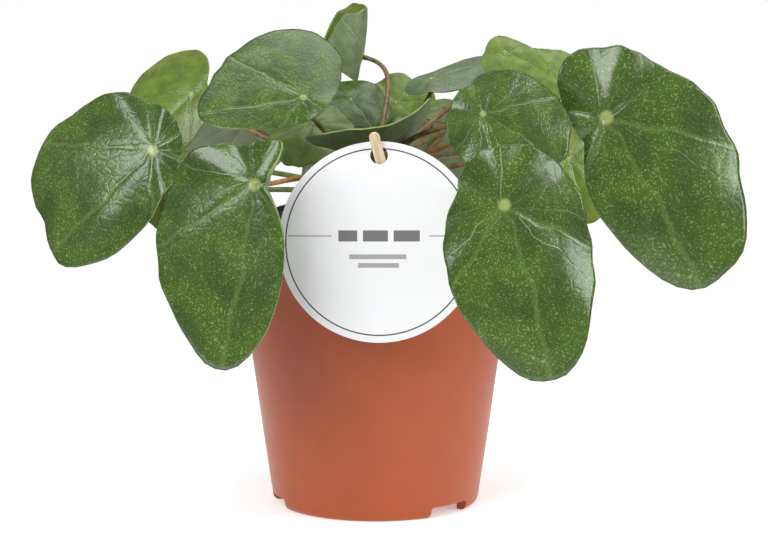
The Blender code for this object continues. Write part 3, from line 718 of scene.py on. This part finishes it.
def make_stalk(name, leaf):
    """A slender stalk, swollen where it leaves the stem and where it meets the blade."""
    height, bearing = leaf["start"][0] * MM, radians(leaf["start"][1])
    rise = radians(leaf["rise"])
    outwards = Vector((cos(bearing), sin(bearing), 0))
    leaving = outwards * cos(rise) + Vector((0, 0, sin(rise)))
    _, _, face = leaf_axes(leaf)
    first = outwards * (stem_radius(height) + 0.2 * MM) + Vector((0, 0, height))
    last = Vector(leaf["at"]) * MM - face * (BLADE_THICKNESS / 2 + 0.1 * MM)
    reach = (last - first).length
    path = interpolate_bezier(
        first, first + leaving * reach * 0.4, last - face * reach * leaf.get("hook", 0.25), last,
        STALK_POINTS)
    radii = []
    for index in range(STALK_POINTS):
        share = index / (STALK_POINTS - 1)
        radius = STALK_RADIUS + (STALK_END_RADIUS - STALK_RADIUS) * share
        for place, swelling, spread in STALK_SWELLINGS:
            radius += swelling * exp(-(((share - place) / spread) ** 2))
        radii.append(radius)
    skin = STALK_SKINS[leaf.get("stalk", "brown")]
    mesh = tube("stalk_" + name, path, radii, STALK_SIDES)
    piece("stalk_" + name, mesh, [skin], "petiole_" + name)


def card_matrix():
    """The card's own axes: X to the right, Y up the card, Z out of its printed face."""
    rim_front = -(POT_TOP + RIM_BEAD + GAP)
    lean = Matrix.Rotation(pi / 2 - CARD_LEAN, 4, "X")
    above = CARD_HEIGHT - (POT_HEIGHT - RIM_BEAD)
    centre = Vector((CARD_SIDE, rim_front + above * sin(CARD_LEAN) / cos(CARD_LEAN), CARD_HEIGHT))
    stand_off = lean @ Vector((0, 0, CARD_THICKNESS / 2 + CARD_STAND_OFF))
    return Matrix.Translation(centre + stand_off) @ lean


def make_card():
    """A thin round card with a punched hole."""
    hole = [(disc_mesh("hole", HOLE_RADIUS, 6 * MM, 48), Matrix.Translation((0, HOLE_RISE, 0)))]
    mesh = cut_mesh(disc_mesh("card_disc", CARD_RADIUS, CARD_THICKNESS, 180), hole)
    obj = add_object("card_disc", mesh)
    mesh.materials.append(CARD_PRINT)
    obj.matrix_world = TO_FRAME @ card_matrix()
    edge = obj.modifiers.new("edge", "BEVEL")
    edge.width = CARD_EDGE
    edge.segments = 2
    finish_piece(obj, "card")


def make_stick():
    """A flat stick with a round top and a blunt point, through the card's hole."""
    across = Vector((1, 0, 0))
    across = (across - STICK_DIRECTION * across.dot(STICK_DIRECTION)).normalized()
    axes = Matrix((across, STICK_DIRECTION, across.cross(STICK_DIRECTION))).transposed().to_4x4()
    half = STICK_WIDTH / 2
    outline = arc((0, STICK_ABOVE - half), half, 0, 180, 24)
    outline += [(-half, 3 * half - STICK_BELOW), (-0.3 * half, -STICK_BELOW)]
    outline += [(0.3 * half, -STICK_BELOW), (half, 3 * half - STICK_BELOW)]
    points = [(x, y, z) for z in (-STICK_THICKNESS / 2, STICK_THICKNESS / 2) for x, y in outline]
    n = len(outline)
    faces = [tuple(reversed(range(n))), tuple(range(n, 2 * n))]
    faces += [(k, (k + 1) % n, n + (k + 1) % n, n + k) for k in range(n)]
    mesh = mesh_of("stick_wood", points, faces)
    obj = add_object("stick_flat", mesh)
    mesh.materials.append(STICK_WOOD)
    hole = card_matrix() @ Vector((0, HOLE_RISE, 0))
    obj.matrix_world = TO_FRAME @ Matrix.Translation(hole) @ axes
    edge = obj.modifiers.new("edge", "BEVEL")
    edge.width = STICK_EDGE
    edge.segments = 3
    edge.limit_method = "ANGLE"
    finish_piece(obj, "stick")


def make_stage():
    """A pale floor that keeps the shadow near the pot and runs out into white."""
    bm = bmesh.new()
    bmesh.ops.create_grid(bm, x_segments=1, y_segments=1, size=FLOOR_SIZE)
    mesh = mesh_from("floor", bm)
    floor = add_object("floor", mesh)
    made, tree, shader, add = surface("floor_white", (0.9, 0.9, 0.9), 0.9)
    reach = add("VectorMath", {"operation": "LENGTH"}, i0=add("TexCoord").outputs[3]).outputs[1]
    shader.inputs["Specular IOR Level"].default_value = 0.1
    shader.inputs["Emission Color"].default_value = (1, 1, 1, 1)
    shader.inputs["Emission Strength"].default_value = FLOOR_GLOW
    white = add("Emission", None, Color=(1, 1, 1, 1), Strength=1.0).outputs[0]
    dull = add("Emission", None, Color=(1, 1, 1, 1), Strength=0.35).outputs[0]
    far = add("MixShader", None, i0=add("LightPath").outputs["Is Camera Ray"], i1=dull, i2=white).outputs[0]
    both = add("MixShader", None, i0=span(add, reach, 0.16, 0.4), i1=shader.outputs[0], i2=far)
    tree.links.new(both.outputs[0], tree.nodes["Material Output"].inputs[0])
    mesh.materials.append(made)


def area_light(name, place, target, size, power):
    data = bpy.data.lights.new(name, "AREA")
    data.shape = "RECTANGLE"
    data.size, data.size_y = size
    data.energy = power
    light = add_object(name, data)
    light.location = place
    light.rotation_euler = (Vector(target) - Vector(place)).to_track_quat("-Z", "Y").to_euler()


def make_world():
    """A dim even light all round, seen as white."""
    world = bpy.data.worlds.new("studio")
    bpy.context.scene.world = world
    world.use_nodes = True
    tree = world.node_tree
    back = tree.nodes["Background"]
    back.inputs["Color"].default_value = (0.95, 0.97, 1, 1)
    back.inputs["Strength"].default_value = WORLD_STRENGTH
    seen = tree.nodes.new("ShaderNodeBackground")
    seen.inputs["Color"].default_value = (1, 1, 1, 1)
    path = tree.nodes.new("ShaderNodeLightPath")
    both = tree.nodes.new("ShaderNodeMixShader")
    tree.links.new(path.outputs["Is Camera Ray"], both.inputs[0])
    tree.links.new(back.outputs[0], both.inputs[1])
    tree.links.new(seen.outputs[0], both.inputs[2])
    tree.links.new(both.outputs[0], tree.nodes["World Output"].inputs[0])


def make_camera():
    data = bpy.data.cameras.new("camera")
    data.lens = LENS
    data.sensor_width = SENSOR_WIDTH
    camera = add_object("camera", data)
    camera.location = CAMERA_PLACE + AXIS_PLACE
    camera.rotation_euler = (CAMERA_TURN, 0, 0)
    bpy.context.scene.camera = camera


CAMERA_PLACE = Vector((0.0036, -1.2, 0.2815))
CAMERA_TURN = radians(81.42)  # up from looking straight down
LENS = 132.5
SENSOR_WIDTH = 36
LAMPS = {  # place, what it aims at, size, power in watts
    "key": ((-0.75, -0.95, 1.0), (0, 0, 0.13), (0.9, 0.9), 16),
    "right": ((1.05, -0.45, 0.55), (0, 0, 0.13), (0.5, 0.9), 9),
    "top": ((0.15, 0.35, 1.15), (0, 0, 0.1), (1.1, 0.7), 5),
}
FLOOR_SIZE = 8
FLOOR_GLOW = 0.38  # of the floor near the pot, where it also keeps the shadow
WORLD_STRENGTH = 0.36

for existing in list(bpy.data.objects):
    if existing.type in {"CAMERA", "LIGHT"}:
        bpy.data.objects.remove(existing)

POT_PLASTIC = noisy_surface(
    "moulded_plastic", (0.35, 0.06, 0.008), (0.37, 0.066, 0.009), 0.36, 90.0, 0.00002)
PEAT = noisy_surface("dark_peat", (0.006, 0.004, 0.003), (0.035, 0.022, 0.014), 0.95, 700.0, 0.0006)
STEM_BARK = noisy_surface("stem_skin", (0.09, 0.07, 0.03), (0.2, 0.17, 0.07), 0.7, 500.0, 0.0003)
STICK_WOOD = noisy_surface(
    "birch_wood", (0.66, 0.47, 0.3), (0.88, 0.72, 0.52), 0.6, 500.0, 0.0001, stretch=(3, 0.15, 1))
LEAF_RIM = noisy_surface("leaf_margin", (0.2, 0.3, 0.07), (0.3, 0.4, 0.12), 0.45, 300.0, 0.0001)
STALK_SKINS = {
    "brown": noisy_surface("stalk_brown", (0.13, 0.07, 0.025), (0.26, 0.17, 0.06), 0.4, 350.0, 0.0001),
    "orange": noisy_surface("stalk_orange", (0.3, 0.13, 0.03), (0.42, 0.24, 0.06), 0.4, 350.0, 0.0001),
    "green": noisy_surface("stalk_green", (0.2, 0.26, 0.07), (0.34, 0.42, 0.14), 0.4, 350.0, 0.0001),
}
STALK_DOT = (0.42, 0.5, 0.16)
GLOW = (0.3, 0.5, 0.05)
UNDERSIDE = leaf_surface(
    "leaf_underside", (0.14, 0.2, 0.08), (0.24, 0.32, 0.15), (0.34, 0.42, 0.2), (0.4, 0.46, 0.24),
    0.3, 0.42, GLOW)
LEAF_TONES = {
    "front": (leaf_surface("leaf_front", (0.036, 0.08, 0.005), (0.078, 0.165, 0.01), (0.36, 0.44, 0.16),
                           (0.12, 0.22, 0.04), 0.8, 0.2, GLOW), UNDERSIDE),
    # painted backlight: the leaves at the back get a brighter, yellower copy of the top, standing in for
    # light shining through them
    "back": (leaf_surface("leaf_back_painted_backlight", (0.1, 0.17, 0.01), (0.21, 0.31, 0.02), (0.38, 0.46, 0.14),
                          (0.2, 0.33, 0.06), 0.35, 0.3, GLOW), UNDERSIDE),
    # painted sheen: leaves seen at a grazing angle get a paler, greyer copy of the top, standing in for the
    # white backdrop's reflection
    "pale": (leaf_surface("leaf_pale_painted_sheen", (0.09, 0.15, 0.06), (0.16, 0.24, 0.1), (0.36, 0.42, 0.2),
                          (0.3, 0.38, 0.16), 0.3, 0.3, GLOW), UNDERSIDE),
}
CARD_PRINT = card_surface()

BY_SLOT = {"pot_plastic": POT_PLASTIC, "peat": PEAT, "stem_bark": STEM_BARK, "stick_wood": STICK_WOOD,
           "leaf_green": LEAF_TONES["front"][0], "petiole_skin": STALK_SKINS["brown"],
           "card_white": CARD_PRINT}
for part in frame["record"]["subparts"]:
    node = frame["nodes"][part["node"]]
    node.data.materials.clear()
    node.data.materials.append(BY_SLOT[part["material_slot"]])

make_pot()
make_soil()
make_stem()
make_card()
make_stick()
for seed, (leaf_name, leaf_shape) in enumerate(LEAVES.items()):
    make_blade(leaf_name, leaf_shape, seed)
    make_stalk(leaf_name, leaf_shape)

make_stage()
make_world()
for lamp_name, lamp in LAMPS.items():
    area_light(lamp_name, *lamp)
make_camera()
bpy.context.scene.view_settings.view_transform = "Standard"
